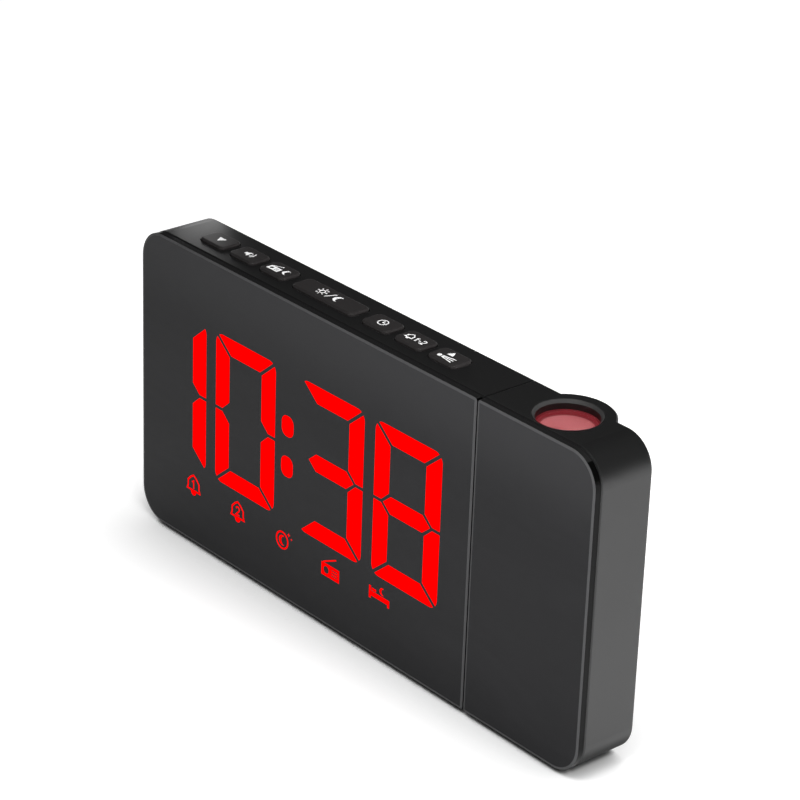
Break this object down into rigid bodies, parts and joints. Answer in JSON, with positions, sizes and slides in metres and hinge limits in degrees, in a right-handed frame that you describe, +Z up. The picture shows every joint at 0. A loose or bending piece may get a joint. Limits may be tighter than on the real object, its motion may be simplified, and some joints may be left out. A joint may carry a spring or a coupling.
{
  "type": "projection alarm clock",
  "caption": "Slim free-standing alarm clock with large red segment digits, a row of top keys and a swing arm at one end that holds a focusing time projector.",
  "frame": {"origin": "on the table, under the middle of the clock's box", "axes": "+X to the right as one faces the display, +Y towards the back, +Z up"},
  "size_m": [0.185, 0.0248, 0.092],
  "materials": {
    "smoked_acrylic": "polished, almost black",
    "black_film": "printed black",
    "frame_plastic": "fine satin",
    "case_plastic": "fine spark-eroded texture",
    "key_plastic": "soft satin",
    "inner_plastic": "moulded",
    "ring_plastic": "satin, bright at the chamfer",
    "red_diffuser": "translucent",
    "circuit_board": "solder mask",
    "led_body": "moulded",
    "red_led": "clear red resin",
    "chip_resin": "moulded resin",
    "plain_metal": "nickel plated",
    "screw_steel": "blackened",
    "gold_contact": "plated",
    "white_plastic": "nylon",
    "paper_cone": "pressed paper",
    "ferrite": "sintered",
    "black_rubber": "matte",
    "loom_jacket": "smooth",
    "clear_lens": "polished",
    "rose_lens": "polished",
    "image_glass": "polished",
    "red_glass": "polished"
  },
  "bodies": {
    "main_body": {"window": "smoked_acrylic", "mask_film": "black_film", "front_frame": "frame_plastic", "rear_case": "case_plastic", "display_housing": "inner_plastic", "hour_tens_segments": "red_diffuser", "hour_units_segments": "red_diffuser", "minute_tens_segments": "red_diffuser", "minute_units_segments": "red_diffuser", "colon_dots": "red_diffuser", "icon_bars": "red_diffuser", "display_board": "circuit_board", "display_leds": "led_body", "control_chips": "chip_resin", "capacitors": "plain_metal", "crystal": "plain_metal", "key_board": "circuit_board", "key_switches": "chip_resin", "speaker_frame": "plain_metal", "speaker_cone": "paper_cone", "speaker_magnet": "ferrite", "coin_cell": "plain_metal", "cell_contacts": "gold_contact", "port_board": "circuit_board", "usb_shell": "plain_metal", "usb_tongue": "white_plastic", "dc_jack": "inner_plastic", "dc_pin": "plain_metal", "antenna_grommet": "black_rubber", "case_screws": "screw_steel", "feet": "black_rubber", "glide_washer": "white_plastic", "pivot_spring": "plain_metal"},
    "swing_arm": {"arm_window": "smoked_acrylic", "arm_frame": "frame_plastic", "arm_case": "case_plastic", "pivot_hub": "inner_plastic", "hub_screws": "screw_steel", "pivot_clip": "plain_metal", "loom": "loom_jacket", "loom_bushing": "black_rubber", "arm_screws": "screw_steel", "optics_housing": "inner_plastic", "condenser_lens": "clear_lens", "image_lcd": "image_glass", "projector_led": "red_led", "led_board": "circuit_board"},
    "focus": {"focus_ring": "ring_plastic", "tinted_window": "red_glass"},
    "lens": {"lens_cell": "ring_plastic", "projection_lens": "rose_lens"},
    "battery_door": {"battery_door": "case_plastic"},
    "key_down": {"key_down": "key_plastic"},
    "key_volume": {"key_volume": "key_plastic"},
    "key_radio": {"key_radio": "key_plastic"},
    "key_snooze": {"key_snooze": "key_plastic"},
    "key_set": {"key_set": "key_plastic"},
    "key_alarm": {"key_alarm": "key_plastic"},
    "key_up": {"key_up": "key_plastic"}
  },
  "joints": [
    {"name": "arm_swing", "type": "hinge", "parent": "main_body", "child": "swing_arm", "pos_m": [0.049, -0.00255, 0.0462], "axis": [1, 0, 0], "range_deg": [-90, 90]},
    {"name": "focus_turn", "type": "hinge", "parent": "swing_arm", "child": "focus", "pos_m": [0.0692, -0.00005, 0.0912], "axis": [0, 0, 1], "range_deg": [-75, 75]},
    {"name": "lens_travel", "type": "slide", "parent": "swing_arm", "child": "lens", "axis": [0, 0, 1], "range_m": [-0.00075, 0.00075]},
    {"name": "battery_door_pull", "type": "slide", "parent": "main_body", "child": "battery_door", "axis": [0, 1, 0], "range_m": [0, 0.015]},
    {"name": "key_down_press", "type": "slide", "parent": "main_body", "child": "key_down", "axis": [0, 0, -1], "range_m": [0, 0.0005], "stiffness_N_per_m": 300, "springref_m": -0.0003},
    {"name": "key_volume_press", "type": "slide", "parent": "main_body", "child": "key_volume", "axis": [0, 0, -1], "range_m": [0, 0.0005], "stiffness_N_per_m": 300, "springref_m": -0.0003},
    {"name": "key_radio_press", "type": "slide", "parent": "main_body", "child": "key_radio", "axis": [0, 0, -1], "range_m": [0, 0.0005], "stiffness_N_per_m": 300, "springref_m": -0.0003},
    {"name": "key_snooze_press", "type": "slide", "parent": "main_body", "child": "key_snooze", "axis": [0, 0, -1], "range_m": [0, 0.0005], "stiffness_N_per_m": 300, "springref_m": -0.0003},
    {"name": "key_set_press", "type": "slide", "parent": "main_body", "child": "key_set", "axis": [0, 0, -1], "range_m": [0, 0.0005], "stiffness_N_per_m": 300, "springref_m": -0.0003},
    {"name": "key_alarm_press", "type": "slide", "parent": "main_body", "child": "key_alarm", "axis": [0, 0, -1], "range_m": [0, 0.0005], "stiffness_N_per_m": 300, "springref_m": -0.0003},
    {"name": "key_up_press", "type": "slide", "parent": "main_body", "child": "key_up", "axis": [0, 0, -1], "range_m": [0, 0.0005], "stiffness_N_per_m": 300, "springref_m": -0.0003}
  ],
  "couplings": [
    {"joint": "focus_turn", "follows": "lens_travel", "rad_per_m": 1745.3}
  ]
}
